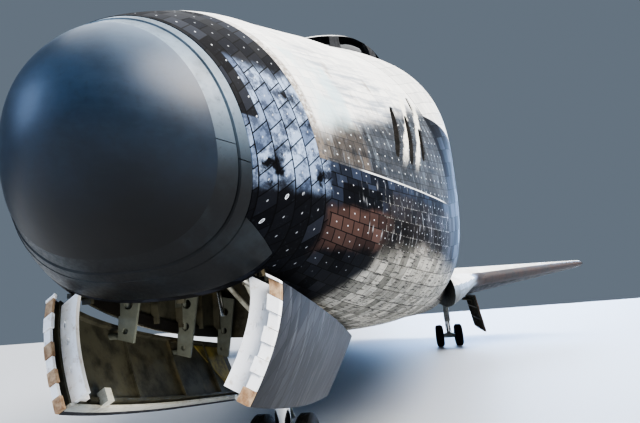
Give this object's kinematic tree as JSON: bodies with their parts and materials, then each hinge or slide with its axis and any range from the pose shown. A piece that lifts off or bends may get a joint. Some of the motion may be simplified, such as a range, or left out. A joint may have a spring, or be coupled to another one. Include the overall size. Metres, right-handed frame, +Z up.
{
  "type": "space shuttle orbiter",
  "caption": "Winged reusable spacecraft parked on its landing gear, with a load bay under clamshell doors, delta wings, split rudder and rocket engines at the tail.",
  "frame": {"origin": "centre of the bounding box, on the floor under the tyres", "axes": "+X to the craft's port side, +Y aft, +Z up"},
  "size_m": [23.7896, 36.4509, 17.4361],
  "materials": {
    "carbon": "satin, grey reinforced carbon",
    "composite": "matt, blanket over composite skin",
    "structure": "blanket and tile over aluminium structure",
    "dark_skin": "matt, black tile over a light shell",
    "white_skin": "matt, white tile over a light shell",
    "engine_steel": "satin, heat-tinted alloy steel",
    "belly": "black tile over aluminium structure",
    "glass": "clear, dark",
    "alloy": "satin, bare",
    "gear_paint": "semi-gloss, pale grey",
    "tyre": "matt",
    "cabin": "matt, grey-green"
  },
  "bodies": {
    "airframe": {"nose_cap": "carbon", "wing_leading_edge_port": "carbon", "wing_leading_edge_starboard": "carbon", "forward_rcs_module": "white_skin", "forward_fuselage": "dark_skin", "aft_fuselage": "structure", "windshield": "glass", "flight_deck": "cabin", "mid_fuselage": "composite", "oms_pod_port": "composite", "oms_pod_starboard": "composite", "fin": "composite", "base_heat_shield": "composite", "wing_port": "composite", "wing_starboard": "composite", "main_engine_upper": "engine_steel", "main_engine_port": "engine_steel", "main_engine_starboard": "engine_steel", "oms_nozzle_port": "engine_steel", "oms_nozzle_starboard": "engine_steel", "main_gear_strut_port": "gear_paint", "main_gear_strut_starboard": "gear_paint", "nose_gear_strut": "gear_paint", "main_gear_door_port": "belly", "main_gear_door_starboard": "belly", "nose_gear_door_port": "belly", "nose_gear_door_starboard": "belly"},
    "nose_fork": {"nose_gear_fork": "gear_paint"},
    "nose_wheels": {"nose_tyre_port": "tyre", "nose_tyre_starboard": "tyre", "nose_wheel_port": "alloy", "nose_wheel_starboard": "alloy"},
    "main_wheels_port": {"main_tyre_inner_port": "tyre", "main_tyre_outer_port": "tyre", "main_wheel_inner_port": "alloy", "main_wheel_outer_port": "alloy"},
    "bay_door_port": {"bay_door_port": "composite"},
    "elevon_inboard_port": {"elevon_inboard_port": "composite"},
    "elevon_outboard_port": {"elevon_outboard_port": "composite"},
    "rudder_panel_port": {"rudder_panel_port": "composite"},
    "main_wheels_starboard": {"main_tyre_inner_starboard": "tyre", "main_tyre_outer_starboard": "tyre", "main_wheel_inner_starboard": "alloy", "main_wheel_outer_starboard": "alloy"},
    "bay_door_starboard": {"bay_door_starboard": "composite"},
    "elevon_inboard_starboard": {"elevon_inboard_starboard": "composite"},
    "elevon_outboard_starboard": {"elevon_outboard_starboard": "composite"},
    "rudder_panel_starboard": {"rudder_panel_starboard": "composite"},
    "crew_hatch": {"crew_hatch": "belly"},
    "body_flap": {"body_flap": "composite"}
  },
  "joints": [
    {"name": "nose_steer", "type": "hinge", "parent": "airframe", "child": "nose_fork", "pos_m": [0, -14.42347, 0.4064], "axis": [0, -0.061, 0.9981], "range_deg": [-9, 9]},
    {"name": "nose_wheel_spin", "type": "hinge", "parent": "nose_fork", "child": "nose_wheels", "pos_m": [0, -14.42347, 0.4064], "axis": [1, 0, 0], "continuous": true},
    {"name": "main_wheel_spin_port", "type": "hinge", "parent": "airframe", "child": "main_wheels_port", "pos_m": [3.4544, 5.77211, 0.56515], "axis": [1, 0, 0], "continuous": true},
    {"name": "main_wheel_spin_starboard", "type": "hinge", "parent": "airframe", "child": "main_wheels_starboard", "pos_m": [-3.4544, 5.77211, 0.56515], "axis": [1, 0, 0], "continuous": true},
    {"name": "bay_door_port_hinge", "type": "hinge", "parent": "airframe", "child": "bay_door_port", "pos_m": [2.7559, -0.35335, 6.26929], "axis": [0, 0.9981, 0.061], "range_deg": [0, 175.5]},
    {"name": "bay_door_starboard_hinge", "type": "hinge", "parent": "airframe", "child": "bay_door_starboard", "pos_m": [-2.7559, -0.35335, 6.26929], "axis": [0, -0.9981, -0.061], "range_deg": [0, 175.5]},
    {"name": "crew_hatch_hinge", "type": "hinge", "parent": "airframe", "child": "crew_hatch", "pos_m": [2.6416, -11.75001, 3.29469], "axis": [0, 0.9981, 0.061], "range_deg": [0, 90]},
    {"name": "elevon_inboard_port_hinge", "type": "hinge", "parent": "airframe", "child": "elevon_inboard_port", "pos_m": [5.4864, 11.04757, 3.76559], "axis": [0.9981, -0.0037, 0.0609], "range_deg": [-20, 35]},
    {"name": "elevon_outboard_port_hinge", "type": "hinge", "parent": "airframe", "child": "elevon_outboard_port", "pos_m": [9.9568, 11.03087, 4.0385], "axis": [0.9981, -0.0037, 0.0609], "range_deg": [-20, 35]},
    {"name": "elevon_inboard_starboard_hinge", "type": "hinge", "parent": "airframe", "child": "elevon_inboard_starboard", "pos_m": [-5.4864, 11.04757, 3.76559], "axis": [0.9981, 0.0037, -0.0609], "range_deg": [-20, 35]},
    {"name": "elevon_outboard_starboard_hinge", "type": "hinge", "parent": "airframe", "child": "elevon_outboard_starboard", "pos_m": [-9.9568, 11.03087, 4.0385], "axis": [0.9981, 0.0037, -0.0609], "range_deg": [-20, 35]},
    {"name": "body_flap_hinge", "type": "hinge", "parent": "airframe", "child": "body_flap", "pos_m": [0, 14.73643, 3.78226], "axis": [1, 0, 0], "range_deg": [-22.5, 11.7]},
    {"name": "rudder_panel_port_hinge", "type": "hinge", "parent": "airframe", "child": "rudder_panel_port", "pos_m": [0, 15.31297, 14.7014], "axis": [0, -0.5201, -0.8541], "range_deg": [0, 49.3]},
    {"name": "rudder_panel_starboard_hinge", "type": "hinge", "parent": "airframe", "child": "rudder_panel_starboard", "pos_m": [0, 15.31297, 14.7014], "axis": [0, 0.5201, 0.8541], "range_deg": [0, 49.3]}
  ]
}
